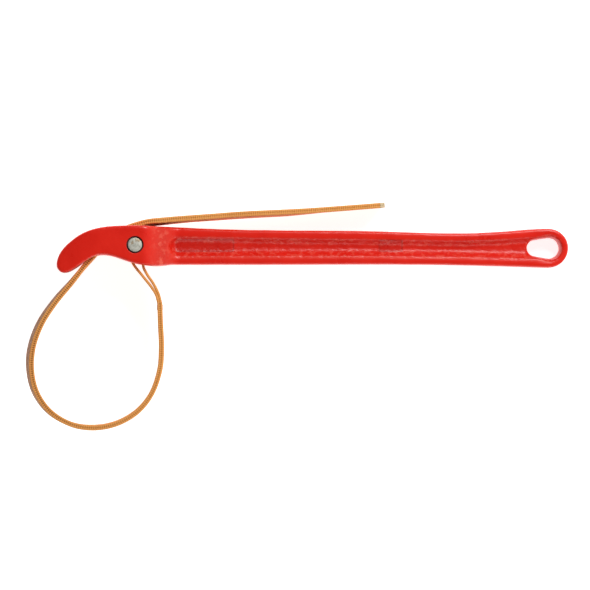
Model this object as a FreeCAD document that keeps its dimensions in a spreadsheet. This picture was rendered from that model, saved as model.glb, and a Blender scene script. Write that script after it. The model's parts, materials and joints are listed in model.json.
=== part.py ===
"""Strap wrench: cast-iron handle with a forked head, a steel pin and a folded webbing strap.

The tool is drawn in its own frame: the pin's centre is the origin, X runs along the handle, Y towards
the side where the tail leaves the head, and Z along the pin. The last section lays it on a table.
"""
import FreeCAD, Part
import math
import os
import Sketcher
from FreeCAD import Placement, Rotation, Vector

os.makedirs("parts", exist_ok=True)
doc = FreeCAD.newDocument("StrapWrench")

# ---------------------------------------------------------------- driving dimensions

DIMENSIONS = [
    ("head_width", 38.0, "across the two cheeks"),
    ("slot_width", 26.0, "gap between the cheeks"),
    ("handle_width", 16.0, "I-section, over the flanges"),
    ("recess_depth", 3.5, "each side of the web"),
    ("shoulder_start", 7.5, "where the cheeks begin to slope down"),
    ("shoulder_end", 22.5, "where the slope meets the flanges"),
    ("slot_back", 8.5, "rear wall of the slot"),
    ("pin_radius", 4.5, "pressed into both cheeks"),
    ("pin_proud", 0.25, "pin end above the cheek face"),
    ("pin_chamfer", 0.4, "both ends of the pin"),
    ("ring_radius", 5.1, "spot face round the pin"),
    ("ring_depth", 0.7, "spot face depth"),
    ("eye_centre_x", 241.8, "end eye of the handle"),
    ("eye_centre_y", -1.7, "end eye of the handle"),
    ("eye_radius", 11.4, "end eye of the handle"),
    ("hang_big_radius", 6.2, "egg-shaped hang hole, outer end"),
    ("hang_small_radius", 4.8, "egg-shaped hang hole, inner end"),
    ("eye_rim", 2.9, "raised rim round the eye, beside the recess"),
    ("strap_width", 25.0, "webbing"),
    ("ply_thickness", 1.4, "one layer of webbing"),
    ("pin_clearance", 0.07, "webbing on the pin"),
    ("body_gap", 0.4, "between stretches that move apart"),
]

MARGIN = 4.0
THROUGH = "60 mm"
SMALL_CUT = 1000.0

sheet = doc.addObject("Spreadsheet::Sheet", "Dimensions")
for row, (alias, value, note) in enumerate(DIMENSIONS, start=1):
    sheet.set(f"A{row}", alias)
    sheet.set(f"B{row}", str(value))
    sheet.set(f"C{row}", note)
    sheet.setAlias(f"B{row}", alias)
doc.recompute()
size = {alias: value for alias, value, _ in DIMENSIONS}
ply = size["ply_thickness"]

# ---------------------------------------------------------------- outlines, in the tool's frame

# The handle's two long edges run between the end eye and the head.
NECK_TOP = (20.5, 10.5)
NECK_BOTTOM = (20.5, -11.4)
HANDLE_TOP = [(229.0, 9.1), (213.0, 7.8), (190.0, 6.9), (143.0, 8.0), (96.0, 8.4), (38.0, 9.6)]
HANDLE_UNDERSIDE = [(38.0, -11.4), (96.0, -11.3), (155.0, -11.2), (198.0, -11.8), (221.0, -12.4)]
HEAD_TOP = [(10.5, 10.9), (-5.8, 11.2), (-21.0, 9.8), (-30.7, 6.5), (-37.9, 1.3), (-42.8, -4.0)]
HOOK_START = (-45.3, -10.8)
HOOK_TIP = [(-44.3, -14.6), (-41.6, -16.3), (-38.9, -15.9)]
HOOK_END = (-35.5, -14.1)
HEAD_UNDERSIDE = [(-28.2, -9.2), (-21.0, -5.9), (-14.5, -6.2), (-1.8, -10.3), (5.7, -11.8)]
RECESS_TOP = [(25.0, 5.4), (96.0, 4.3), (143.0, 3.9), (190.0, 3.1), (213.0, 3.8), (229.0, 5.1)]
RECESS_UNDERSIDE = [
    (229.0, -8.6), (213.0, -8.1), (190.0, -7.6), (143.0, -7.1), (96.0, -7.1), (25.0, -7.2),
]
# The slot's front wall leans with the strap; both ends of the outline are outside the head.
SLOT_FRONT = [(-38.2, -18.0), (-5.7, 16.0)]

# Middle line of the doubled strap, from the pin side round the loop, through the slot to the tip.
STRAP_ROUTE = [
    (14.4, -34.0), (14.8, -46.8), (15.3, -60.0), (14.2, -73.0), (9.5, -86.5), (1.0, -97.0),
    (-11.0, -103.8), (-24.4, -106.1), (-37.3, -103.8), (-49.2, -96.4), (-56.8, -85.3), (-59.7, -72.4),
    (-58.7, -59.1), (-53.9, -45.8), (-46.0, -33.5), (-36.8, -22.2), (-28.3, -11.2), (-18.6, -0.3),
    (-8.5, 8.0), (4.5, 12.8), (16.9, 14.5), (44.5, 16.6), (65.0, 18.1), (96.0, 19.6), (120.4, 21.3),
    (145.1, 23.2),
]
# Single layers between the pin and the place where they come together.
LEFT_PLY = [(-4.8, -2.2), (-0.8, -11.0), (3.6, -17.4), (8.3, -23.6), (11.9, -28.9), (13.7, -34.0)]
RIGHT_PLY = [(5.3, -0.4), (4.6, -11.0), (6.7, -16.6), (10.6, -22.4), (13.6, -28.4), (15.1, -34.0)]
PLIES_MEET = (12.6, -28.6)

# Where one stretch of the strap ends and the next begins, as points of STRAP_ROUTE.
LEG_LENGTH_POINT = 2
LOOP_END_POINT = 12
SLOT_MOUTH_POINT = 16
SLOT_EXIT_POINT = 19
NECK_END_POINT = 21
TIP_LENGTH = 3.2


# ---------------------------------------------------------------- helpers

def new_body(label):
    """An empty PartDesign body; its label becomes the name of its file."""
    body = doc.addObject("PartDesign::Body", label)
    body.Label = label
    return body


def origin_plane(body, role):
    """One of the body's own origin planes."""
    return next(feature for feature in body.Origin.OriginFeatures if feature.Role == role)


def new_sketch(body, name, role="XY_Plane"):
    """A sketch on one of the body's own origin planes."""
    sketch = body.newObject("Sketcher::SketchObject", name)
    sketch.AttachmentSupport = [(origin_plane(body, role), "")]
    sketch.MapMode = "FlatFace"
    return sketch


def vectors(points):
    return [Vector(x, y, 0) for x, y in points]


def add_line(sketch, start, end):
    sketch.addGeometry(Part.LineSegment(Vector(*start, 0), Vector(*end, 0)), False)


def add_curve(sketch, points):
    """A smooth curve through the points."""
    curve = Part.BSplineCurve()
    curve.interpolate(vectors(points))
    sketch.addGeometry(curve, False)


def add_arc(sketch, first, middle, last):
    sketch.addGeometry(Part.Arc(Vector(*first, 0), Vector(*middle, 0), Vector(*last, 0)), False)


def add_circle(sketch, centre, radius_name):
    """A circle whose radius is bound to the sheet."""
    circle = Part.Circle(Vector(*centre, 0), Vector(0, 0, 1), size[radius_name])
    index = sketch.addGeometry(circle, False)
    constraint = sketch.addConstraint(Sketcher.Constraint("Radius", index, size[radius_name]))
    sketch.setExpression(f"Constraints[{constraint}]", f"Dimensions.{radius_name}")


def mid_pad(body, sketch, name, width_name):
    """A pad of both sides of the sketch, its whole width bound to the sheet."""
    pad = body.newObject("PartDesign::Pad", name)
    pad.Profile = sketch
    pad.SideType = "Symmetric"
    pad.setExpression("Length", f"Dimensions.{width_name}")
    doc.recompute()
    return pad


def mid_pocket(body, sketch, name, width):
    """A pocket to both sides of the sketch; it has to remove material."""
    before = body.Shape.Volume
    pocket = body.newObject("PartDesign::Pocket", name)
    pocket.Profile = sketch
    pocket.SideType = "Symmetric"
    pocket.setExpression("Length", width)
    doc.recompute()
    if body.Shape.Volume > before - 1.0:
        raise RuntimeError(f"{name} removed nothing")
    return pocket


def route_curve(points):
    curve = Part.BSplineCurve()
    curve.interpolate(vectors(points))
    return curve


def side_points(curve, start, end, offset, count):
    """Points beside a curve between two of its parameters; a positive offset is to the left."""
    beside = []
    for step in range(count + 1):
        parameter = start + (end - start) * step / count
        tangent = curve.tangent(parameter)[0]
        place = curve.value(parameter)
        beside.append((place.x - offset * tangent.y, place.y + offset * tangent.x))
    return beside


def parameter_at(curve, point):
    return curve.parameter(Vector(*point, 0))


def parameter_after(curve, parameter, distance):
    """The parameter that lies a distance along the curve past another one."""
    return curve.parameterAtDistance(distance, parameter)


def strap_stretch(label, start, end, pieces):
    """One stretch of the doubled strap, between two parameters of its middle line."""
    body = new_body(label)
    sketch = new_sketch(body, f"{label}_edge")
    left = side_points(strap_line, start, end, ply, pieces)
    right = side_points(strap_line, start, end, -ply, pieces)
    add_curve(sketch, left)
    add_line(sketch, left[-1], right[-1])
    add_curve(sketch, right[::-1])
    add_line(sketch, right[0], left[0])
    mid_pad(body, sketch, f"{label}_pad", "strap_width")
    return body


def edges_near(shape, test):
    """Names of the edges whose every sampled point passes the test."""
    names = []
    for number, edge in enumerate(shape.Edges, start=1):
        first, last = edge.ParameterRange
        samples = [edge.valueAt(first + (last - first) * step / 4) for step in range(5)]
        if all(test(point) for point in samples):
            names.append(f"Edge{number}")
    return names


# ---------------------------------------------------------------- casting

casting = new_body("handle_casting")

eye_x = size["eye_centre_x"]
eye_y = size["eye_centre_y"]
eye_top = (eye_x, eye_y + size["eye_radius"])
eye_bottom = (eye_x, eye_y - size["eye_radius"])
eye_end = (eye_x + size["eye_radius"], eye_y)
outline_sketch = new_sketch(casting, "outline")
add_curve(outline_sketch, [eye_top] + HANDLE_TOP + [NECK_TOP])
add_curve(outline_sketch, [NECK_TOP] + HEAD_TOP + [HOOK_START])
add_curve(outline_sketch, [HOOK_START] + HOOK_TIP + [HOOK_END])
add_curve(outline_sketch, [HOOK_END] + HEAD_UNDERSIDE + [NECK_BOTTOM])
add_curve(outline_sketch, [NECK_BOTTOM] + HANDLE_UNDERSIDE + [eye_bottom])
add_arc(outline_sketch, eye_top, eye_end, eye_bottom)
mid_pad(casting, outline_sketch, "blank", "head_width")

# Seen from above, the cheeks slope down to the flanges on both sides.
head_half = size["head_width"] / 2
handle_half = size["handle_width"] / 2
outside = head_half + MARGIN
beyond = eye_x + size["eye_radius"] + MARGIN
shoulder_sketch = new_sketch(casting, "shoulder_slopes", "XZ_Plane")
for side in (1, -1):
    corners = [
        (size["shoulder_start"], side * head_half),
        (size["shoulder_end"], side * handle_half),
        (beyond, side * handle_half),
        (beyond, side * outside),
        (size["shoulder_start"], side * outside),
    ]
    for first, second in zip(corners, corners[1:] + corners[:1]):
        add_line(shoulder_sketch, first, second)
mid_pocket(casting, shoulder_sketch, "shoulders", THROUGH)

slot_sketch = new_sketch(casting, "slot_outline")
slot_corners = SLOT_FRONT + [(size["slot_back"], 16.0), (size["slot_back"], -18.0)]
for first, second in zip(slot_corners, slot_corners[1:] + slot_corners[:1]):
    add_line(slot_sketch, first, second)
mid_pocket(casting, slot_sketch, "slot", "Dimensions.slot_width")

# Long recess on both faces, which runs out round the hang hole.
eye_rim = size["eye_radius"] - size["eye_rim"]
for side, word in ((1, "front"), (-1, "back")):
    recess_sketch = new_sketch(casting, f"recess_{word}_outline")
    floor_height = f"{side} * (Dimensions.handle_width / 2 - Dimensions.recess_depth)"
    recess_sketch.setExpression("AttachmentOffset.Base.z", floor_height)
    add_curve(recess_sketch, RECESS_TOP + [(eye_x, eye_y + eye_rim)])
    add_arc(recess_sketch, (eye_x, eye_y + eye_rim), (eye_x + eye_rim, eye_y), (eye_x, eye_y - eye_rim))
    add_curve(recess_sketch, [(eye_x, eye_y - eye_rim)] + RECESS_UNDERSIDE)
    add_arc(recess_sketch, RECESS_UNDERSIDE[-1], (18.7, -0.9), RECESS_TOP[0])
    before = casting.Shape.Volume
    recess = casting.newObject("PartDesign::Pocket", f"recess_{word}")
    recess.Profile = recess_sketch
    recess.Length = size["recess_depth"] + MARGIN
    recess.Reversed = side > 0
    doc.recompute()
    if casting.Shape.Volume > before - SMALL_CUT:
        raise RuntimeError(f"recess_{word} removed nothing")

# Egg-shaped hang hole: two circles of different size and their common tangents.
hang_sketch = new_sketch(casting, "hang_hole_outline")
big = (242.4, -1.8)
small = (233.9, -1.6)
lean = math.acos((size["hang_big_radius"] - size["hang_small_radius"]) / (big[0] - small[0]))


def on_circle(centre, radius, angle):
    return (centre[0] + radius * math.cos(angle), centre[1] + radius * math.sin(angle))


upper = math.pi - lean
big_top = on_circle(big, size["hang_big_radius"], upper)
big_bottom = on_circle(big, size["hang_big_radius"], -upper)
small_top = on_circle(small, size["hang_small_radius"], upper)
small_bottom = on_circle(small, size["hang_small_radius"], -upper)
add_arc(hang_sketch, big_bottom, on_circle(big, size["hang_big_radius"], 0.0), big_top)
add_line(hang_sketch, big_top, small_top)
add_arc(hang_sketch, small_top, on_circle(small, size["hang_small_radius"], math.pi), small_bottom)
add_line(hang_sketch, small_bottom, big_bottom)
mid_pocket(casting, hang_sketch, "hang_hole", THROUGH)

pin_hole_sketch = new_sketch(casting, "pin_hole_outline")
add_circle(pin_hole_sketch, (0.0, 0.0), "pin_radius")
mid_pocket(casting, pin_hole_sketch, "pin_hole", THROUGH)

for side, word in ((1, "front"), (-1, "back")):
    ring_sketch = new_sketch(casting, f"ring_{word}_outline")
    ring_sketch.setExpression(
        "AttachmentOffset.Base.z", f"{side} * (Dimensions.head_width / 2 - Dimensions.ring_depth)")
    add_circle(ring_sketch, (0.0, 0.0), "ring_radius")
    ring = casting.newObject("PartDesign::Pocket", f"ring_{word}")
    ring.Profile = ring_sketch
    ring.Length = size["ring_depth"] + MARGIN
    ring.Reversed = side > 0
    doc.recompute()

# ---------------------------------------------------------------- pin

pin = new_body("strap_pin")
pin_sketch = new_sketch(pin, "pin_section")
add_circle(pin_sketch, (0.0, 0.0), "pin_radius")
pin_pad = pin.newObject("PartDesign::Pad", "pin_shank")
pin_pad.Profile = pin_sketch
pin_pad.SideType = "Symmetric"
pin_pad.setExpression("Length", "Dimensions.head_width + 2 * Dimensions.pin_proud")
doc.recompute()
pin_chamfer = pin.newObject("PartDesign::Chamfer", "pin_ends")
pin_chamfer.Base = (pin_pad, edges_near(pin_pad.Shape, lambda p: abs(p.z) > 15.0))
pin_chamfer.Size = size["pin_chamfer"]
doc.recompute()

# ---------------------------------------------------------------- strap: fold round the pin

eye = new_body("strap_eye")
eye_sketch = new_sketch(eye, "eye_edge")
left_line = route_curve(LEFT_PLY)
right_line = route_curve(RIGHT_PLY)
half_ply = ply / 2
wrap_inner = size["pin_radius"] + size["pin_clearance"]
wrap_outer = wrap_inner + ply


def wrap_ends(radius):
    """The two ends of an arc round the pin, where the layers leave it, and its top."""
    left_direction = left_line.tangent(left_line.FirstParameter)[0]
    right_direction = right_line.tangent(right_line.FirstParameter)[0]
    left_end = (radius * left_direction.y, -radius * left_direction.x)
    right_end = (-radius * right_direction.y, radius * right_direction.x)
    return left_end, (0.0, radius), right_end


outer_left, outer_top, outer_right = wrap_ends(wrap_outer)
inner_left, inner_top, inner_right = wrap_ends(wrap_inner)


def ply_side(line, offset, count, keep):
    """One face of a single layer below the pin."""
    points = side_points(line, line.FirstParameter, line.LastParameter, offset, count)
    return points[1:keep]


left_outer = [outer_left] + ply_side(left_line, -half_ply, 6, 7)
right_outer = [outer_right] + ply_side(right_line, half_ply, 6, 7)
left_inner = [inner_left] + ply_side(left_line, half_ply, 6, 5) + [PLIES_MEET]
right_inner = [inner_right] + ply_side(right_line, -half_ply, 6, 5) + [PLIES_MEET]
add_arc(eye_sketch, outer_left, outer_top, outer_right)
add_curve(eye_sketch, right_outer)
add_line(eye_sketch, right_outer[-1], left_outer[-1])
add_curve(eye_sketch, left_outer[::-1])
add_arc(eye_sketch, inner_left, inner_top, inner_right)
add_curve(eye_sketch, right_inner)
add_curve(eye_sketch, left_inner[::-1])
mid_pad(eye, eye_sketch, "eye_pad", "strap_width")

# ---------------------------------------------------------------- strap: doubled stretches

strap_line = route_curve(STRAP_ROUTE)
gap = size["body_gap"]
station = [parameter_at(strap_line, point) for point in STRAP_ROUTE]

strap_stretch("strap_leg_pin_side", station[0], station[LEG_LENGTH_POINT], 6)
strap_stretch("strap_loop", parameter_after(strap_line, station[LEG_LENGTH_POINT], gap),
              station[LOOP_END_POINT], 22)
strap_stretch("strap_leg_slot_side", parameter_after(strap_line, station[LOOP_END_POINT], gap),
              station[SLOT_MOUTH_POINT], 8)
strap_stretch("strap_throat", parameter_after(strap_line, station[SLOT_MOUTH_POINT], gap),
              station[SLOT_EXIT_POINT], 8)
strap_stretch("strap_tail_neck", station[SLOT_EXIT_POINT], station[NECK_END_POINT], 6)
tip_start = parameter_after(strap_line, station[-1], -TIP_LENGTH)
strap_stretch("strap_tail", parameter_after(strap_line, station[NECK_END_POINT], gap), tip_start, 6)
strap_stretch("strap_tip", tip_start, station[-1], 2)

# ---------------------------------------------------------------- bar tack that closes the eye

TACK_LENGTH = 4.0
TACK_THREAD = 0.35
TACK_SPAN = 19.0
tack = new_body("eye_stitching")
tack_sketch = new_sketch(tack, "tack_edge")
tack_start = parameter_after(strap_line, station[0], 1.5)
tack_end = parameter_after(strap_line, tack_start, TACK_LENGTH)
for side in (1, -1):
    face = side_points(strap_line, tack_start, tack_end, side * ply, 2)
    crown = side_points(strap_line, tack_start, tack_end, side * (ply + TACK_THREAD), 2)
    add_curve(tack_sketch, face)
    add_line(tack_sketch, face[-1], crown[-1])
    add_curve(tack_sketch, crown[::-1])
    add_line(tack_sketch, crown[0], face[0])
tack_pad = tack.newObject("PartDesign::Pad", "tack_pad")
tack_pad.Profile = tack_sketch
tack_pad.SideType = "Symmetric"
tack_pad.Length = TACK_SPAN
doc.recompute()

# ---------------------------------------------------------------- lay the tool on a table

# It rests on the lower cheek's edge and on the far end of the handle, which is narrower than the head.
subparts = [item for item in doc.Objects if item.TypeId == "PartDesign::Body"]
tilt = math.atan((head_half - handle_half) / eye_x)
turn = Placement(Vector(0, 0, 0), Rotation(Vector(0, 1, 0), math.degrees(tilt)))
for subpart in subparts:
    subpart.Placement = turn
doc.recompute()

assembly_box = FreeCAD.BoundBox()
for subpart in subparts:
    assembly_box.add(subpart.Shape.optimalBoundingBox(False))
middle = assembly_box.Center
lying = Placement(Vector(-middle.x, -middle.y, -assembly_box.ZMin), turn.Rotation)
for subpart in subparts:
    subpart.Placement = lying
doc.recompute()

# ---------------------------------------------------------------- checks and files

for item in doc.Objects:
    if "Invalid" in item.State or "Error" in item.State:
        raise RuntimeError(f"{item.Label} failed: {item.State}")
for subpart in subparts:
    if subpart.Shape.isNull() or not subpart.Shape.isValid() or not subpart.Shape.Solids:
        raise RuntimeError(f"{subpart.Label} has no valid solid")
for subpart in subparts:
    subpart.Shape.exportStep(f"parts/{subpart.Label}.step")
    print(f"{subpart.Label}: {len(subpart.Shape.Solids)} solid, {subpart.Shape.Volume:.0f} mm3")
print("tool frame to row frame:", lying)
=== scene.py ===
"""Strap wrench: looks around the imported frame.

Lengths are millimetres in the tool's frame, where the pin's centre is the origin, X runs along the handle
and Z along the pin. finish_piece turns them into the metres of the row frame.
"""
import json
import math
import bmesh
import bpy
import numpy as np
from mathutils import Matrix, Vector


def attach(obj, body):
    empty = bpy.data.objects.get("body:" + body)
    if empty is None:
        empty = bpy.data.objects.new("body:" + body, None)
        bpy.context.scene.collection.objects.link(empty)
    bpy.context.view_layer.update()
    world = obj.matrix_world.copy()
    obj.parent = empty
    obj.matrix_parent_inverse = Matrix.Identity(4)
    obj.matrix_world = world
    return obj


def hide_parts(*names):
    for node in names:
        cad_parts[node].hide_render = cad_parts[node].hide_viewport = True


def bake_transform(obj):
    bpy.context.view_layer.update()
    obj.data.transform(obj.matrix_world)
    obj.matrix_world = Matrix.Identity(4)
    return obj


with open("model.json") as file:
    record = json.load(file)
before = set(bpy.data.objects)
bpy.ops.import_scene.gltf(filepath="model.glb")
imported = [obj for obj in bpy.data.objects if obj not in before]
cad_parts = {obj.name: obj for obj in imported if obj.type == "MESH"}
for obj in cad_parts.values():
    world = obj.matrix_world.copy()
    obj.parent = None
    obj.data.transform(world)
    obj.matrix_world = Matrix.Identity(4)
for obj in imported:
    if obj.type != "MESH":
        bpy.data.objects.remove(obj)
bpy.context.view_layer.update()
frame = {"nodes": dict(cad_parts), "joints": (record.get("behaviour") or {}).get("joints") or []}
joints = {joint["name"]: joint for joint in frame["joints"]}

# ---------------------------------------------------------------- the tool's frame, from the hinge

MM = 0.001
PIN = Vector(joints["loop_swing"]["pos_m"])
PIN_AXIS = Vector(joints["loop_swing"]["axis"])
ACROSS = Vector((0.0, 1.0, 0.0))
ALONG = ACROSS.cross(PIN_AXIS)
TURN = Matrix((ALONG, ACROSS, PIN_AXIS)).transposed()
TOOL = Matrix.Translation(PIN) @ TURN.to_4x4() @ Matrix.Scale(MM, 4)
TOOL_INVERSE = TOOL.inverted()


def in_row(x, y, z=0.0):
    """A point of the tool's frame, in the row frame."""
    return TOOL @ Vector((x, y, z))


# ---------------------------------------------------------------- sizes, as in the CAD

HEAD_HALF = 19.0
SLOT_HALF = 13.0
HANDLE_HALF = 8.0
RECESS_DEPTH = 3.5
SHOULDER_START = 7.5
SHOULDER_END = 22.5
PIN_RADIUS = 4.5
EYE = (241.8, -1.7)
EYE_RADIUS = 11.4
EYE_RIM = 2.9
STRAP_HALF = 12.5
PLY = 1.4
PIN_CLEARANCE = 0.07
TIP_LENGTH = 3.2

RECESS_TOP = [(25.0, 5.4), (96.0, 4.3), (143.0, 3.9), (190.0, 3.1), (213.0, 3.8), (229.0, 5.1)]
RECESS_UNDERSIDE = [
    (25.0, -7.2), (96.0, -7.1), (143.0, -7.1), (190.0, -7.6), (213.0, -8.1), (229.0, -8.6),
]

# Middle line of the doubled strap, from the pin side round the loop, through the slot to the tip.
STRAP_ROUTE = [
    (14.4, -34.0), (14.8, -46.8), (15.3, -60.0), (14.2, -73.0), (9.5, -86.5), (1.0, -97.0),
    (-11.0, -103.8), (-24.4, -106.1), (-37.3, -103.8), (-49.2, -96.4), (-56.8, -85.3), (-59.7, -72.4),
    (-58.7, -59.1), (-53.9, -45.8), (-46.0, -33.5), (-36.8, -22.2), (-28.3, -11.2), (-18.6, -0.3),
    (-8.5, 8.0), (4.5, 12.8), (16.9, 14.5), (44.5, 16.6), (65.0, 18.1), (96.0, 19.6), (120.4, 21.3),
    (145.1, 23.2),
]
RIGHT_PLY = [(5.3, -0.4), (4.6, -11.0), (6.7, -16.6), (10.6, -22.4), (13.6, -28.4), (15.1, -34.0)]

# ---------------------------------------------------------------- sizes of the visible surface only

# The left layer lies up to 1 mm from its place in the CAD.
LEFT_PLY = [(-4.8, -2.2), (-1.0, -11.0), (4.1, -17.6), (9.2, -24.0), (12.3, -29.0), (13.7, -34.0)]
PLY_LOOK = 1.58
EDGE_ROUND = 0.55
RIB_PITCH = 1.25
RIB_HEIGHT = 0.06
WARP_PITCH = 0.9
HERRINGBONE = 2.5
STEP = RIB_PITCH / 5
POINTS_PER_SPAN = 40

RING_RADIUS = 4.95
SEAT_DEPTH = 1.2
SEAT_PROUD = 0.4
CLOSING_OVERLAP = 0.1
PLUG_CLEARANCE = 0.04
PLUG_SEGMENTS = 64
SEAT_SEGMENTS = 96
COARSE_CELL = 0.7
FINE_CELL = 0.55
ROUNDING_PASSES = 14
WAVES = 24
WAVE_LIMIT = 1.6
FAR_OUTSIDE = -9.0
RECESS_BLEND = 0.5
SLOPE_WIDTH = 4.6
SLOPE_POWER = 0.8
HOOK_TAPER = 0.09
HOOK_TAPER_START = -20.0
HOOK_TAPER_RUN = 34.0
SWEEP_REACH = 3.5
PARTING_HEIGHT = 0.22
PARTING_SPREAD = 0.55
SHOULDER_MIDDLE = 15.5
SHOULDER_SPREAD = 4.5

# Unevenness of the cast skin: seed, length of a wave and height, in that order.
FINE_LUMPS = (3, 2.2, 0.055)
COARSE_LUMPS = (4, 5.0, 0.05)
WAVINESS = (5, 14.0, 0.05)
# Patchiness of the painted highlights on the shoulder, in the same order.
SHINE_PATCHES = (6, 4.0, 0.5)

# Blank cast pads on the web: left, right, low and high edge.
PADS = [(24.5, 57.0, -3.2, 2.7), (143.0, 155.5, -3.0, 2.4)]
PAD_HEIGHT = 0.5
PAD_SLOPE = 0.5

# ---------------------------------------------------------------- camera, first

VIEW_CENTRE = in_row(93.4, -29.1)
CAMERA_HEIGHT = 1.9
CAMERA_REACH = 20.0
SENSOR = 36.0
VIEW_WIDTH = 344.15 * MM
camera_data = bpy.data.cameras.new("camera")
camera_data.sensor_width = SENSOR
camera_data.lens = SENSOR * (CAMERA_HEIGHT - PIN.z) / VIEW_WIDTH
camera_data.clip_end = CAMERA_REACH
camera = bpy.data.objects.new("camera", camera_data)
camera.location = (VIEW_CENTRE.x, VIEW_CENTRE.y, CAMERA_HEIGHT)
bpy.context.scene.collection.objects.link(camera)
bpy.context.scene.camera = camera


# ---------------------------------------------------------------- mesh helpers

def mesh_piece(name, vertices, faces, body, material):
    """A new object from points in the tool's frame."""
    mesh = bpy.data.meshes.new(name)
    mesh.from_pydata(vertices, [], faces)
    mesh.update()
    return finish_piece(name, mesh, body, material)


def finish_piece(name, mesh, body, material):
    """Puts a mesh of the tool's frame into the row and lets it ride on its body, if it is given one."""
    mesh.transform(TOOL)
    piece = bpy.data.objects.new(name, mesh)
    bpy.context.scene.collection.objects.link(piece)
    mesh.materials.append(material)
    mesh.polygons.foreach_set("use_smooth", [True] * len(mesh.polygons))
    if body:
        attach(piece, body)
    return piece


def add_attributes(mesh, **fields):
    """Stores numbers on a mesh's points, for its material to read."""
    for name, values in fields.items():
        stored = mesh.attributes.new(name, "FLOAT", "POINT")
        stored.data.foreach_set("value", np.asarray(values, np.float32))


def path_length(path):
    """Distance from the start of a path to each of its points."""
    return np.concatenate([[0], np.cumsum(np.linalg.norm(np.diff(path, axis=0), axis=1))])


def smooth_curve(points):
    """Points about STEP apart along a Catmull-Rom curve through the given ones."""
    fixed = np.array(points, float)
    ends = np.vstack([2 * fixed[0] - fixed[1], fixed, 2 * fixed[-1] - fixed[-2]])
    dense = []
    for a, b, c, d in zip(ends, ends[1:], ends[2:], ends[3:]):
        for t in np.linspace(0, 1, POINTS_PER_SPAN, endpoint=False):
            curved = (2 * a - 5 * b + 4 * c - d) * t**2 + (3 * b - a - 3 * c + d) * t**3
            dense.append(0.5 * (2 * b + (c - a) * t + curved))
    dense.append(fixed[-1])
    dense = np.array(dense)
    length = path_length(dense)
    count = int(round(length[-1] / STEP)) + 1
    wanted = np.linspace(0, length[-1], count)
    return np.stack([np.interp(wanted, length, dense[:, k]) for k in (0, 1)], axis=1)


def left_of(path):
    """Unit normals to the left of a path."""
    along = np.gradient(path, axis=0)
    along /= np.linalg.norm(along, axis=1)[:, None]
    return np.stack([-along[:, 1], along[:, 0]], axis=1)


# ---------------------------------------------------------------- materials

# Places of the colour sockets among all sockets of a Mix node.
COLOUR_A = 6
COLOUR_B = 7
COLOUR_RESULT = 2


def new_material(name):
    """A new material with its nodes, links and shader."""
    material = bpy.data.materials.new(name)
    material.use_nodes = True
    nodes = material.node_tree.nodes
    return material, nodes, material.node_tree.links, nodes["Principled BSDF"]


def add_noise(nodes, links, vector, scale, detail, roughness=0.55):
    """Fractal noise from about 0 to 1; a greater scale is finer."""
    noise = nodes.new("ShaderNodeTexNoise")
    noise.inputs["Scale"].default_value = scale
    noise.inputs["Detail"].default_value = detail
    noise.inputs["Roughness"].default_value = roughness
    links.new(vector, noise.inputs["Vector"])
    return noise.outputs["Fac"]


def add_ramp(nodes, links, value, stops):
    """Colours between (value, colour) stops."""
    ramp = nodes.new("ShaderNodeValToRGB")
    elements = ramp.color_ramp.elements
    while len(elements) < len(stops):
        elements.new(0.5)
    for element, (place, colour) in zip(elements, stops):
        element.position = place
        element.color = (*colour, 1.0)
    links.new(value, ramp.inputs["Fac"])
    return ramp.outputs["Color"]


def add_maths(nodes, links, operation, *values):
    """A Math node; each value may be a socket or a number."""
    maths = nodes.new("ShaderNodeMath")
    maths.operation = operation
    for socket, value in zip(maths.inputs, values):
        if isinstance(value, (int, float)):
            socket.default_value = value
        else:
            links.new(value, socket)
    return maths.outputs["Value"]


def add_tint(nodes, links, tone, colour, mask, share):
    """The tone with a share of another colour mixed in where the mask is 1."""
    mix = nodes.new("ShaderNodeMix")
    mix.data_type = "RGBA"
    links.new(add_maths(nodes, links, "MULTIPLY", mask, share), mix.inputs["Factor"])
    links.new(tone, mix.inputs[COLOUR_A])
    mix.inputs[COLOUR_B].default_value = (*colour, 1.0)
    return mix.outputs[COLOUR_RESULT]


def add_bump(nodes, links, shader, height, distance):
    """Relief on a shader; a height of 1 stands the given metres proud."""
    bump = nodes.new("ShaderNodeBump")
    bump.inputs["Strength"].default_value = 1.0
    bump.inputs["Distance"].default_value = distance
    links.new(height, bump.inputs["Height"])
    links.new(bump.outputs["Normal"], shader.inputs["Normal"])


def add_attribute(nodes, name):
    """Numbers that add_attributes has stored on the mesh."""
    node = nodes.new("ShaderNodeAttribute")
    node.attribute_name = name
    return node.outputs["Fac"]


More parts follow.
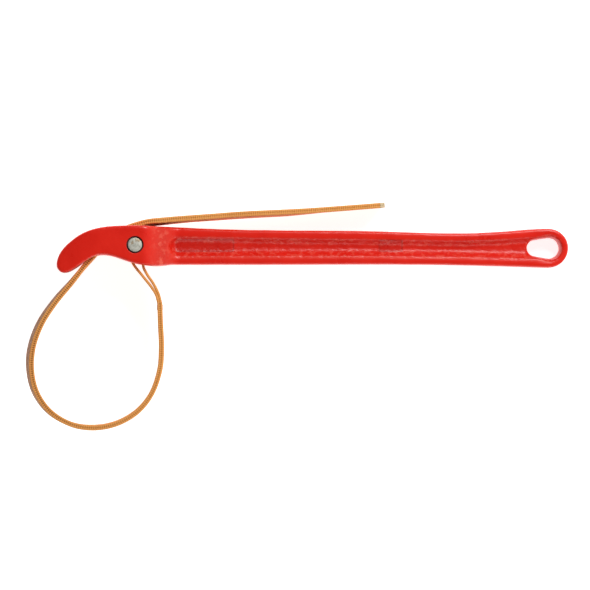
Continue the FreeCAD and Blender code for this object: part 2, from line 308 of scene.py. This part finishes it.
def red_paint():
    """Glossy red enamel over sand-cast iron: fine orange peel, pale flecks painted as highlights where a
    rough slope would glint, lighter red painted as highlights on the edges, and painted shade as dark lines
    round the pads and a darker recess, shoulder and hook."""
    material, nodes, links, shader = new_material("red_enamel")
    place = nodes.new("ShaderNodeTexCoord").outputs["Object"]
    rough_cast = add_attribute(nodes, "rough_cast")
    patches = add_noise(nodes, links, place, 55.0, 5.0)
    grain = add_noise(nodes, links, place, 620.0, 5.0, 0.6)
    peel = add_noise(nodes, links, place, 240.0, 2.0)
    tone = add_ramp(nodes, links, patches, [(0.3, (0.76, 0.013, 0.005)), (0.7, (0.86, 0.020, 0.008))])

    # Painted shade: darker in the recess, in dark outlines round the pads, on the shoulder and towards the
    # hook's tip.
    pooled = add_attribute(nodes, "paint_pool")
    tone = add_tint(nodes, links, tone, (0.30, 0.004, 0.003), pooled, 0.72)

    # Painted highlights: pale flecks where the rough slopes and the shoulder would glint.
    flecks = add_noise(nodes, links, place, 330.0, 3.0, 0.6)
    flecks = add_maths(nodes, links, "GREATER_THAN", flecks, 0.55)
    flecks = add_maths(nodes, links, "MULTIPLY", flecks, add_attribute(nodes, "slope_shine"))
    tone = add_tint(nodes, links, tone, (0.95, 0.20, 0.13), flecks, 0.5)

    # Painted highlight: lighter red on the rounded edges and along the recess's lower rim.
    worn = add_attribute(nodes, "edge_wear")
    tone = add_tint(nodes, links, tone, (0.93, 0.085, 0.045), worn, 0.35)
    links.new(tone, shader.inputs["Base Color"])

    gloss = add_maths(nodes, links, "MULTIPLY_ADD", patches, 0.14, 0.22)
    links.new(gloss, shader.inputs["Roughness"])
    shader.inputs["Specular IOR Level"].default_value = 0.3
    shader.inputs["Coat Weight"].default_value = 0.08
    shader.inputs["Coat Roughness"].default_value = 0.12

    lumps = add_maths(nodes, links, "MULTIPLY", grain, rough_cast)
    height = add_maths(nodes, links, "MULTIPLY_ADD", peel, 0.35, lumps)
    add_bump(nodes, links, shader, height, 0.28 * MM)
    return material


def seat_grime():
    """Painted shadow: near-black red paint in the groove round each end of the pin, where shadow falls."""
    material, nodes, links, shader = new_material("seat_grime")
    place = nodes.new("ShaderNodeTexCoord").outputs["Object"]
    dirt = add_noise(nodes, links, place, 900.0, 3.0)
    tone = add_ramp(nodes, links, dirt, [(0.3, (0.030, 0.004, 0.003)), (0.7, (0.14, 0.010, 0.006))])
    links.new(tone, shader.inputs["Base Color"])
    shader.inputs["Roughness"].default_value = 0.7
    return material


def zinc_steel():
    """Zinc-plated end of the pin: dull mottled grey-green with dark specks and a brown stain."""
    material, nodes, links, shader = new_material("zinc_steel")
    place = nodes.new("ShaderNodeTexCoord").outputs["Object"]
    mottle = add_noise(nodes, links, place, 700.0, 6.0)
    tone = add_ramp(nodes, links, mottle, [(0.3, (0.46, 0.46, 0.39)), (0.7, (0.76, 0.75, 0.65))])

    specks = add_noise(nodes, links, place, 1500.0, 2.0)
    specks = add_maths(nodes, links, "GREATER_THAN", specks, 0.68)
    tone = add_tint(nodes, links, tone, (0.20, 0.16, 0.11), specks, 1.0)

    stain = add_noise(nodes, links, place, 300.0, 3.0)
    stain = add_ramp(nodes, links, stain, [(0.58, (0.0, 0.0, 0.0)), (0.66, (0.7, 0.7, 0.7))])
    tone = add_tint(nodes, links, tone, (0.34, 0.20, 0.07), stain, 1.0)
    links.new(tone, shader.inputs["Base Color"])

    shader.inputs["Metallic"].default_value = 0.3
    shader.inputs["Roughness"].default_value = 0.42
    add_bump(nodes, links, shader, mottle, 0.08 * MM)
    return material


def add_wave(nodes, links, distance, pitch):
    """A sine wave along a distance, from -1 to 1."""
    phase = add_maths(nodes, links, "MULTIPLY", distance, 2 * math.pi / pitch)
    return add_maths(nodes, links, "SINE", phase)


def webbing(name, seam_dark, tip=False):
    """Two-ply nylon webbing, or its heat-sealed tip.

    It reads four attributes. strap_along and strap_across are millimetres. strap_seam is 1 at the middle of
    the strap's edge, 0 at its corners and -1 on the loop's outside. The fourth is how much painted shade the
    strap takes.
    """
    material, nodes, links, shader = new_material(name)
    along = add_attribute(nodes, "strap_along")
    across = add_attribute(nodes, "strap_across")
    seam = add_attribute(nodes, "strap_seam")
    soil = add_attribute(nodes, "strap_soil")
    place = nodes.new("ShaderNodeTexCoord").outputs["Object"]
    fibres = add_noise(nodes, links, place, 1800.0, 3.0)
    blotch = add_noise(nodes, links, place, 60.0, 3.0)

    rib = add_wave(nodes, links, along, RIB_PITCH)
    weave = add_maths(nodes, links, "MULTIPLY", rib, add_wave(nodes, links, across, WARP_PITCH))
    weave = add_maths(nodes, links, "MULTIPLY_ADD", weave, 0.5, 0.5)

    # Herringbone on the flat faces, but not on the strap's two edges.
    from_middle = add_maths(nodes, links, "ABSOLUTE", across)
    zigzag = add_maths(nodes, links, "ADD", along, from_middle)
    zigzag = add_wave(nodes, links, zigzag, HERRINGBONE)
    zigzag = add_maths(nodes, links, "MULTIPLY_ADD", zigzag, 0.5, 0.5)
    on_face = add_maths(nodes, links, "LESS_THAN", from_middle, STRAP_HALF - EDGE_ROUND)
    zigzag = add_maths(nodes, links, "MULTIPLY", zigzag, on_face)

    if tip:
        tone = add_ramp(nodes, links, blotch, [(0.35, (0.55, 0.38, 0.20)), (0.65, (0.80, 0.62, 0.38))])
    else:
        tone = add_ramp(nodes, links, blotch, [(0.3, (0.80, 0.31, 0.068)), (0.7, (0.88, 0.37, 0.092))])
        tone = add_tint(nodes, links, tone, (0.96, 0.50, 0.16), weave, 0.45)
    tone = add_tint(nodes, links, tone, (0.50, 0.19, 0.045), zigzag, 0.32)

    # Painted shade: dark brown on the loop's outer face, by how much shade the strap takes there.
    outer_face = add_maths(nodes, links, "LESS_THAN", seam, -0.6)
    used = add_maths(nodes, links, "MULTIPLY", outer_face, add_maths(nodes, links, "POWER", soil, 3.0))
    tone = add_tint(nodes, links, tone, (0.22, 0.065, 0.010), used, 0.85)

    # Painted shade: dark dots in the crevice between the two layers, where their edges meet, stronger where
    # the strap is shaded.
    between = add_maths(nodes, links, "GREATER_THAN", seam, 0.55)
    dots = add_maths(nodes, links, "GREATER_THAN", rib, -0.35)
    dots = add_maths(nodes, links, "MULTIPLY", dots, between)
    dots = add_maths(nodes, links, "MULTIPLY", dots, soil)
    tone = add_tint(nodes, links, tone, (0.26, 0.085, 0.018), dots, seam_dark)
    links.new(tone, shader.inputs["Base Color"])

    shader.inputs["Roughness"].default_value = 0.62
    shader.inputs["Specular IOR Level"].default_value = 0.2
    shader.inputs["Sheen Weight"].default_value = 0.1
    shader.inputs["Sheen Roughness"].default_value = 0.4
    relief = add_maths(nodes, links, "SUBTRACT", weave, zigzag)
    height = add_maths(nodes, links, "MULTIPLY_ADD", fibres, 0.3, relief)
    add_bump(nodes, links, shader, height, 0.16 * MM)
    return material


def thread():
    """Brown thread of the bar tack."""
    material, nodes, links, shader = new_material("bar_tack_thread")
    place = nodes.new("ShaderNodeTexCoord").outputs["Object"]
    fibres = add_noise(nodes, links, place, 1500.0, 3.0)
    tone = add_ramp(nodes, links, fibres, [(0.3, (0.30, 0.11, 0.03)), (0.7, (0.50, 0.22, 0.08))])
    links.new(tone, shader.inputs["Base Color"])
    shader.inputs["Roughness"].default_value = 0.7
    add_bump(nodes, links, shader, fibres, 0.1 * MM)
    return material


RED = red_paint()
ZINC = zinc_steel()
GRIME = seat_grime()
WEBBING = webbing("nylon_webbing", 0.65)
TAIL_WEBBING = webbing("tail_webbing", 0.4)
SEALED = webbing("sealed_webbing", 0.2, tip=True)
THREAD = thread()


# ---------------------------------------------------------------- casting

def look_up(x, table):
    """Value at each x of a table of (x, value) pairs, with straight lines between them."""
    return np.interp(x, *zip(*table))


def inside_recess(x, y):
    """Distance from the recess's edge, positive inside it."""
    start_x, start_top = RECESS_TOP[0]
    start_bottom = RECESS_UNDERSIDE[0][1]
    end_x = RECESS_TOP[-1][0]
    long_part = np.minimum(look_up(x, RECESS_TOP) - y, y - look_up(x, RECESS_UNDERSIDE))
    start = (start_top - start_bottom) / 2 - np.hypot(x - start_x, y - (start_top + start_bottom) / 2)
    eye = EYE_RADIUS - EYE_RIM - np.hypot(x - EYE[0], y - EYE[1])
    before_eye = np.where(x < EYE[0], long_part, FAR_OUTSIDE)
    distance = np.where(x < start_x, start, long_part)
    return np.where(x > end_x, np.maximum(eye, before_eye), distance)


def relax(points, edges, rounds):
    """Laplacian smoothing: each round moves every point halfway to the middle of its neighbours."""
    count = len(points)
    valence = np.bincount(edges.ravel(), minlength=count)[:, None]
    for _ in range(rounds):
        total = np.zeros_like(points)
        for k in range(3):
            total[:, k] = (np.bincount(edges[:, 0], points[edges[:, 1], k], count)
                           + np.bincount(edges[:, 1], points[edges[:, 0], k], count))
        points = points + 0.5 * (total / np.maximum(valence, 1) - points)
    return points


def wave_field(points, seed, length, height):
    """Smooth seeded unevenness, from -height to height, as a sum of waves about one length long."""
    random = np.random.default_rng(seed)
    total = np.zeros(len(points))
    for _ in range(WAVES):
        direction = random.normal(size=3)
        direction *= 2 * math.pi / (length * random.uniform(0.7, 1.5) * np.linalg.norm(direction))
        total += np.sin(points @ direction + random.uniform(0, 2 * math.pi))
    return height * np.clip(total / math.sqrt(WAVES) / WAVE_LIMIT, -1, 1)


def applied_mesh(piece):
    """A new mesh of a piece with its modifiers applied."""
    evaluated = piece.evaluated_get(bpy.context.evaluated_depsgraph_get())
    return bpy.data.meshes.new_from_object(evaluated)


def remeshed(mesh, cell):
    """The mesh rebuilt from small even cells."""
    holder = bpy.data.objects.new("remesh", mesh)
    bpy.context.scene.collection.objects.link(holder)
    modifier = holder.modifiers.new("voxels", "REMESH")
    modifier.mode = "VOXEL"
    modifier.voxel_size = cell
    result = applied_mesh(holder)
    bpy.data.objects.remove(holder)
    return result


def read_points(mesh):
    """A mesh's points, one in each row."""
    points = np.zeros(len(mesh.vertices) * 3)
    mesh.vertices.foreach_get("co", points)
    return points.reshape(-1, 3)


def read_edges(mesh):
    """The two point numbers of each edge."""
    edges = np.zeros(len(mesh.edges) * 2, int)
    mesh.edges.foreach_get("vertices", edges)
    return edges.reshape(-1, 2)


def write_points(mesh, points):
    """Moves a mesh's points to new places."""
    mesh.vertices.foreach_set("co", points.ravel())
    mesh.update()


def smooth_step(t):
    """0 below 0, 1 above 1, and an S-shaped rise between them."""
    t = np.clip(t, 0.0, 1.0)
    return t * t * (3 - 2 * t)


def pad_shape(x, y, soft):
    """1 on the two blank cast pads of the web, falling to 0 over a soft edge outside them."""
    total = np.zeros(len(x))
    for left, right, low, high in PADS:
        across = np.maximum(np.abs(x - (left + right) / 2) - (right - left) / 2, 0)
        up = np.maximum(np.abs(y - (low + high) / 2) - (high - low) / 2, 0)
        total = np.maximum(total, 1 - smooth_step(np.hypot(across, up) / soft))
    return total


def towards_hook(x):
    """0 on the head, rising to 1 at the tip of the hook."""
    return smooth_step((HOOK_TAPER_START - x) / HOOK_TAPER_RUN)


def sculpt_faces(points):
    """Wide slopes between the flanges and the web, blank pads on the web, a swept shoulder, a thin hook."""
    x, y, z = points.T
    chamfer = np.interp(x, (SHOULDER_START, SHOULDER_END), (HEAD_HALF, HANDLE_HALF))
    sweep = (x - SHOULDER_START + SWEEP_REACH) / (SHOULDER_END - SHOULDER_START + 2 * SWEEP_REACH)
    swept = HEAD_HALF + (HANDLE_HALF - HEAD_HALF) * smooth_step(sweep)
    depth_at = inside_recess(x, y)
    depth = RECESS_DEPTH * smooth_step(depth_at / SLOPE_WIDTH) ** SLOPE_POWER
    depth -= PAD_HEIGHT * pad_shape(x, y, PAD_SLOPE)
    near_face = np.abs(z) > HANDLE_HALF - RECESS_DEPTH - 0.1
    touched = (depth_at > -0.05) & near_face & (x > 15.0)
    points[touched, 2] = (np.sign(z) * (chamfer - depth))[touched]
    points[:, 2] *= (1 - HOOK_TAPER * towards_hook(x)) * swept / chamfer
    return points


def add_cylinders(solid, radius, depth, middle, segments):
    """Adds a closed cylinder on the pin's axis, at the same distance on each side of the middle."""
    for side in (1, -1):
        bmesh.ops.create_cone(solid, cap_ends=True, segments=segments, radius1=radius, radius2=radius,
                              depth=depth, matrix=Matrix.Translation((0, 0, side * middle)))


def filled_casting():
    """The CAD casting, in the tool's frame, with its holes for the pin filled."""
    mesh = frame["nodes"]["handle_casting"].data.copy()
    mesh.transform(TOOL_INVERSE)
    solid = bmesh.new()
    solid.from_mesh(mesh)
    add_cylinders(solid, RING_RADIUS + CLOSING_OVERLAP, HEAD_HALF - SLOT_HALF - PLUG_CLEARANCE,
                  (HEAD_HALF + SLOT_HALF) / 2, PLUG_SEGMENTS)
    solid.to_mesh(mesh)
    solid.free()
    mesh.materials.clear()
    return mesh


def casting():
    """The casting with its edges rounded, its faces shaped and its cast skin modelled."""
    mesh = remeshed(filled_casting(), COARSE_CELL)
    write_points(mesh, sculpt_faces(read_points(mesh)))
    mesh = remeshed(mesh, FINE_CELL)
    points = relax(read_points(mesh), read_edges(mesh), ROUNDING_PASSES)
    write_points(mesh, points)

    normals = np.array([vertex.normal for vertex in mesh.vertices])
    x, y, z = points.T
    facing_up = np.abs(normals[:, 2])
    in_recess = np.clip(inside_recess(x, y) + RECESS_BLEND, 0, 1) * (np.abs(z) < HANDLE_HALF - 0.2)
    shoulder = np.exp(-((x - SHOULDER_MIDDLE) / SHOULDER_SPREAD) ** 2) * (facing_up > 0.3)
    rough = np.clip(0.25 + in_recess * 0.75 + shoulder * 0.7, 0, 1)
    lumps = wave_field(points, *FINE_LUMPS) + wave_field(points, *COARSE_LUMPS)
    parting = PARTING_HEIGHT * np.exp(-(z / PARTING_SPREAD) ** 2) * (facing_up < 0.35)
    points = points + normals * (lumps * rough + wave_field(points, *WAVINESS) + parting)[:, None]
    write_points(mesh, points)

    # Painted highlights: how strongly the recess's slopes and the patchy shoulder would glint.
    slope = np.clip((0.985 - facing_up) / 0.08, 0, 1) * in_recess
    patchy = 0.5 + wave_field(points, *SHINE_PATCHES)
    shine = np.clip(0.42 * slope + 1.3 * shoulder * patchy, 0, 1)
    # Painted highlight: rounded edges outside the recess, and a line along the recess's lower rim.
    rounded = np.clip(1 - np.abs(facing_up - 0.72) / 0.25, 0, 1) * (1 - in_recess)
    lower_rim = np.exp(-((y - look_up(x, RECESS_UNDERSIDE) + 0.1) / 0.5) ** 2)
    lower_rim *= (x > 20) * (x < 205) * (facing_up > 0.5)
    # Painted shade: dark outlines round the pads, a darker recess, a darker shoulder and a darker hook tip.
    pad_outline = np.clip(pad_shape(x, y, 1.3) - 0.75 * pad_shape(x + 0.25, y, 0.25), 0, 1)
    pool = np.clip(0.9 * pad_outline + 0.12, 0, 1) * in_recess
    pool = np.clip(pool + 0.42 * shoulder * (1 - in_recess) + 0.10 * towards_hook(x), 0, 1)
    add_attributes(mesh, rough_cast=rough, edge_wear=np.clip(rounded + lower_rim, 0, 1),
                   slope_shine=shine, paint_pool=pool)

    piece = finish_piece("cast_handle", mesh, None, RED)
    spot_face(piece)
    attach(piece, "handle")
    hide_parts("handle_casting")


def spot_face(piece):
    """Cuts a crisp round seat for each end of the pin."""
    cutter = bpy.data.meshes.new("cutter")
    seats = bmesh.new()
    add_cylinders(seats, RING_RADIUS, 2 * (SEAT_DEPTH + SEAT_PROUD), HEAD_HALF + SEAT_PROUD, SEAT_SEGMENTS)
    seats.to_mesh(cutter)
    seats.free()
    # The seats' cut faces take the painted shadow of the groove.
    cutter.materials.append(GRIME)
    cutter.transform(TOOL)
    cutting = bpy.data.objects.new("cutter", cutter)
    bpy.context.scene.collection.objects.link(cutting)
    modifier = piece.modifiers.new("spot_face", "BOOLEAN")
    modifier.object = cutting
    modifier.operation = "DIFFERENCE"
    modifier.solver = "EXACT"
    modifier.material_mode = "TRANSFER"
    result = applied_mesh(piece)
    piece.modifiers.clear()
    piece.data = result
    bpy.data.objects.remove(cutting)


# ---------------------------------------------------------------- pin

# Radius and height above the middle, from the centre of the domed end to the shank.
PIN_PROFILE = [
    (0.0, 19.22), (2.4, 19.20), (3.5, 19.14), (3.85, 19.02), (4.08, 18.7), (4.12, 18.3), (4.12, 17.5),
    (4.45, 17.4), (4.45, 0.0),
]
PIN_SEGMENTS = 96


def pin():
    """Turned pin with a soft chamfer and a slightly domed end."""
    profile = PIN_PROFILE + [(radius, -height) for radius, height in PIN_PROFILE[-2::-1]]
    vertices = [(0.0, 0.0, profile[0][1])]
    for radius, height in profile[1:-1]:
        for k in range(PIN_SEGMENTS):
            angle = 2 * math.pi * k / PIN_SEGMENTS
            vertices.append((radius * math.cos(angle), radius * math.sin(angle), height))
    vertices.append((0.0, 0.0, profile[-1][1]))
    last = len(vertices) - 1
    faces = [(0, 1 + k, 1 + (k + 1) % PIN_SEGMENTS) for k in range(PIN_SEGMENTS)]
    for ring in range(len(profile) - 3):
        start = 1 + ring * PIN_SEGMENTS
        below = start + PIN_SEGMENTS
        for k in range(PIN_SEGMENTS):
            follow = (k + 1) % PIN_SEGMENTS
            faces.append((start + k, below + k, below + follow, start + follow))
    start = last - PIN_SEGMENTS
    faces += [(start + k, last, start + (k + 1) % PIN_SEGMENTS) for k in range(PIN_SEGMENTS)]
    piece = mesh_piece("turned_pin", vertices, faces, "handle", ZINC)
    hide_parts("strap_pin")


# ---------------------------------------------------------------- strap

# How much painted shade the strap takes, by length along the route.
SOIL = [(0, 0.55), (60, 0.35), (95, 0.45), (120, 0.9), (160, 1.0), (230, 1.0), (262, 0.8), (300, 0.5)]

# How far the strap's lower edge stands outward of its upper one, by length along the route.
LEAN = [
    (0, 0.0), (12, 0.2), (40, 0.4), (70, 0.3), (95, 0.5), (115, 1.4), (135, 2.4), (155, 2.8), (175, 2.4),
    (195, 1.6), (212, 0.6), (224, 0.0), (246, 0.0), (260, -0.9), (272, -1.2), (290, -0.7), (320, -0.8),
    (345, -0.6), (366, 0.3), (400, 0.5),
]

FLAT_POINTS = 9
CORNER_POINTS = 7


def ply_section():
    """Round-edged section of one layer: (across the strap, through the layer)."""
    half = PLY_LOOK / 2
    flat = STRAP_HALF - EDGE_ROUND
    flats = np.linspace(-flat, flat, FLAT_POINTS)
    turn = np.linspace(0, math.pi, CORNER_POINTS)[1:-1]
    section = [(z, half) for z in flats]
    section += [(flat + EDGE_ROUND * math.sin(a), half * math.cos(a)) for a in turn]
    section += [(z, -half) for z in flats[::-1]]
    section += [(-flat - EDGE_ROUND * math.sin(a), -half * math.cos(a)) for a in turn]
    return section


def ply_mesh(path, offset, start_along, outward, leans):
    """Points, faces and attributes of one layer that follows a path at an offset to its left. outward is
    +1 when the layer's left face is an outer face of the doubled strap, -1 for its right face, 0 for none."""
    section = ply_section()
    ring = len(section)
    vertices, along, across, seam, soil = [], [], [], [], []
    for (x, y), (nx, ny), s in zip(path, left_of(path), path_length(path) + start_along):
        rib = RIB_HEIGHT * math.sin(2 * math.pi * s / RIB_PITCH)
        tilt = look_up(s, LEAN) if leans else 0.0
        used = look_up(s, SOIL)
        for z, through in section:
            on_edge = abs(z) > STRAP_HALF - EDGE_ROUND
            swell = rib if through * outward > 0 else 0.0
            edge = rib * 1.2 if on_edge else 0.0
            reach = offset + through + math.copysign(swell, through)
            reach += tilt * (STRAP_HALF - z) / (2 * STRAP_HALF)
            vertices.append((x + nx * reach, y + ny * reach, z + math.copysign(edge, z)))
            along.append(s)
            across.append(z)
            inner = 0.5 - outward * through / PLY if outward else 0.0
            outside = -1.0 if outward > 0 and through > 0 else 0.0
            seam.append(inner if on_edge else outside)
            soil.append(used)
    faces = []
    for k in range(len(path) - 1):
        near = k * ring
        far = near + ring
        for j in range(ring):
            follow = (j + 1) % ring
            faces.append((near + j, near + follow, far + follow, far + j))
    faces.append(tuple(range(ring))[::-1])
    faces.append(tuple(range((len(path) - 1) * ring, len(path) * ring)))
    return vertices, faces, along, across, seam, soil


def strap_piece(name, layers, material):
    """One object of several layers, with the attributes that the weave reads."""
    vertices, faces, along, across, seam, soil = [], [], [], [], [], []
    for layer in layers:
        start = len(vertices)
        vertices += layer[0]
        faces += [tuple(start + k for k in face) for face in layer[1]]
        along += layer[2]
        across += layer[3]
        seam += layer[4]
        soil += layer[5]
    mesh = bpy.data.meshes.new(name)
    mesh.from_pydata(vertices, [], faces)
    add_attributes(mesh, strap_along=along, strap_across=across, strap_seam=seam, strap_soil=soil)
    outward_facing = bmesh.new()
    outward_facing.from_mesh(mesh)
    bmesh.ops.recalc_face_normals(outward_facing, faces=outward_facing.faces)
    outward_facing.to_mesh(mesh)
    outward_facing.free()
    return finish_piece(name, mesh, None, material)


route = smooth_curve(STRAP_ROUTE)


def nearest(point):
    """Where on the route a point lies."""
    return int(np.argmin(np.hypot(route[:, 0] - point[0], route[:, 1] - point[1])))


# Places on the route where one visible piece of the strap ends and the next begins.
LEG_CUT = nearest((-41.0, -26.5))
SLOT_CUT = nearest((-15.5, -0.2))
TIP_CUT = len(route) - int(TIP_LENGTH / STEP)


def doubled(first, last):
    """Both layers of the strap between two places on the route."""
    path = route[first:last]
    start_along = first * STEP
    return [ply_mesh(path, side * PLY / 2, start_along, side, True) for side in (1, -1)]


def fold_path():
    """One layer's middle line: up the right side, round the pin and down the left side."""
    radius = PIN_RADIUS + PIN_CLEARANCE + PLY / 2
    first = math.atan2(RIGHT_PLY[0][1], RIGHT_PLY[0][0])
    last = math.atan2(LEFT_PLY[0][1], LEFT_PLY[0][0])
    last += 2 * math.pi if last < first else 0.0
    turn = np.linspace(first, last, int((last - first) * radius / STEP))
    wrap = np.stack([radius * np.cos(turn), radius * np.sin(turn)], axis=1)
    return np.vstack([smooth_curve(RIGHT_PLY)[::-1], wrap[1:-1], smooth_curve(LEFT_PLY)])


def loop_of_strap():
    """The eye round the pin, its two single layers, and the doubled loop as far as the slot."""
    eye = strap_piece("strap_fold", [ply_mesh(fold_path(), 0.0, 0.0, 0, False)], WEBBING)
    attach(eye, "strap_eye")
    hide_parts("strap_eye")
    loop = strap_piece("strap_loop_webbing", doubled(0, LEG_CUT + 1), WEBBING)
    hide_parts("strap_loop", "strap_leg_pin_side")
    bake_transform(loop)
    leg = strap_piece("strap_leg_webbing", doubled(LEG_CUT, SLOT_CUT + 1), WEBBING)
    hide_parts("strap_leg_slot_side")
    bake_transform(leg)


def tail_of_strap():
    """From the middle of the slot, over the top of the head, to the heat-sealed end."""
    tail = strap_piece("strap_tail_webbing", doubled(SLOT_CUT, TIP_CUT + 1), TAIL_WEBBING)
    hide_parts("strap_throat", "strap_tail_neck", "strap_tail")
    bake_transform(tail)
    end = strap_piece("strap_sealed_end", doubled(TIP_CUT, len(route)), SEALED)
    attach(end, "strap_tail")
    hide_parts("strap_tip")


# Steps along the route at which each row of stitches lies, on both faces of the strap.
TACK_ROWS = (6, 10, 14)
TACK_STITCHES = 24
TACK_PITCH = 0.8
TACK_START = -9.2
STITCH_CENTRE_PROUD = 0.12
STITCH_HALF_LENGTH = 0.45
STITCH_SLANT = 0.12
STITCH_THICK = 0.16
STITCH_WIDE = 0.22
STITCH_SIDES = 6


def add_stitch(vertices, faces, centre, normal, z):
    """One slanting stitch: a short oval bar of thread against the strap's face."""
    start = len(vertices)
    for a in range(STITCH_SIDES):
        angle = 2 * math.pi * a / STITCH_SIDES
        for end in (-1, 1):
            vertices.append((centre[0] + normal[0] * STITCH_THICK * math.sin(angle),
                             centre[1] + end * STITCH_HALF_LENGTH,
                             z + end * STITCH_SLANT + STITCH_WIDE * math.cos(angle)))
    for a in range(STITCH_SIDES):
        b = (a + 1) % STITCH_SIDES
        faces.append((start + 2 * a, start + 2 * b, start + 2 * b + 1, start + 2 * a + 1))
    faces.append(tuple(start + 2 * a for a in range(STITCH_SIDES)))
    faces.append(tuple(start + 2 * a + 1 for a in range(STITCH_SIDES - 1, -1, -1)))


def bar_tacks():
    """Three rows of close stitches on each face of the doubled strap, below the pin."""
    vertices, faces = [], []
    normals = left_of(route)
    for side in (1, -1):
        for row in TACK_ROWS:
            centre = route[row] + normals[row] * side * (PLY + STITCH_CENTRE_PROUD)
            for k in range(TACK_STITCHES):
                add_stitch(vertices, faces, centre, normals[row], TACK_START + TACK_PITCH * k)
    piece = mesh_piece("bar_tack", vertices, faces, "strap_eye", THREAD)
    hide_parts("eye_stitching")


# ---------------------------------------------------------------- floor and light

FLOOR_HALF = 6.0


def stage():
    """Plain pale floor, in metres; it glows a little, so that it stays white round the tool."""
    half = FLOOR_HALF
    corners = [(-half, -half, 0), (half, -half, 0), (half, half, 0), (-half, half, 0)]
    mesh = bpy.data.meshes.new("floor")
    mesh.from_pydata(corners, [], [(0, 1, 2, 3)])
    floor = bpy.data.objects.new("floor", mesh)
    bpy.context.scene.collection.objects.link(floor)
    material, _, _, shader = new_material("pale_floor")
    shader.inputs["Base Color"].default_value = (0.80, 0.80, 0.80, 1.0)
    shader.inputs["Roughness"].default_value = 0.9
    shader.inputs["Emission Color"].default_value = (1.0, 1.0, 1.0, 1.0)
    shader.inputs["Emission Strength"].default_value = 0.85
    mesh.materials.append(material)


def area_light(name, place, size, power, aim):
    """A rectangular lamp; places and sizes are metres in the row frame, power is in watts."""
    data = bpy.data.lights.new(name, "AREA")
    data.shape = "RECTANGLE"
    data.size = size[0]
    data.size_y = size[1]
    data.energy = power
    light = bpy.data.objects.new(name, data)
    light.location = place
    light.rotation_euler = (Vector(aim) - Vector(place)).to_track_quat("-Z", "Y").to_euler()
    bpy.context.scene.collection.objects.link(light)


# The sky's brightness by the upward part of the direction, from the horizon to the zenith.
SKY = [(0.0, (0.65, 0.65, 0.65)), (0.45, (0.62, 0.62, 0.62)), (0.9, (0.22, 0.22, 0.22))]


def lights():
    """A sky that is dim overhead and brighter towards +X, a key lamp and a weak lamp near the loop."""
    world = bpy.data.worlds.new("studio")
    bpy.context.scene.world = world
    world.use_nodes = True
    nodes = world.node_tree.nodes
    links = world.node_tree.links
    background = nodes["Background"]
    direction = nodes.new("ShaderNodeSeparateXYZ")
    links.new(nodes.new("ShaderNodeTexCoord").outputs["Generated"], direction.inputs[0])
    sky = add_ramp(nodes, links, direction.outputs["Z"], SKY)
    links.new(sky, background.inputs["Color"])
    strength = add_maths(nodes, links, "MULTIPLY_ADD", direction.outputs["X"], 0.30, 0.72)
    links.new(strength, background.inputs["Strength"])
    area_light("key", (0.35, 0.60, 0.80), (0.4, 0.4), 7.0, (0.05, 0.0, 0.0))
    area_light("near_side", (0.25, -0.9, 0.45), (1.2, 0.25), 2.6, (0.0, 0.0, 0.0))
    bpy.context.scene.view_settings.view_transform = "Standard"


casting()
pin()
loop_of_strap()
tail_of_strap()
bar_tacks()
stage()
lights()
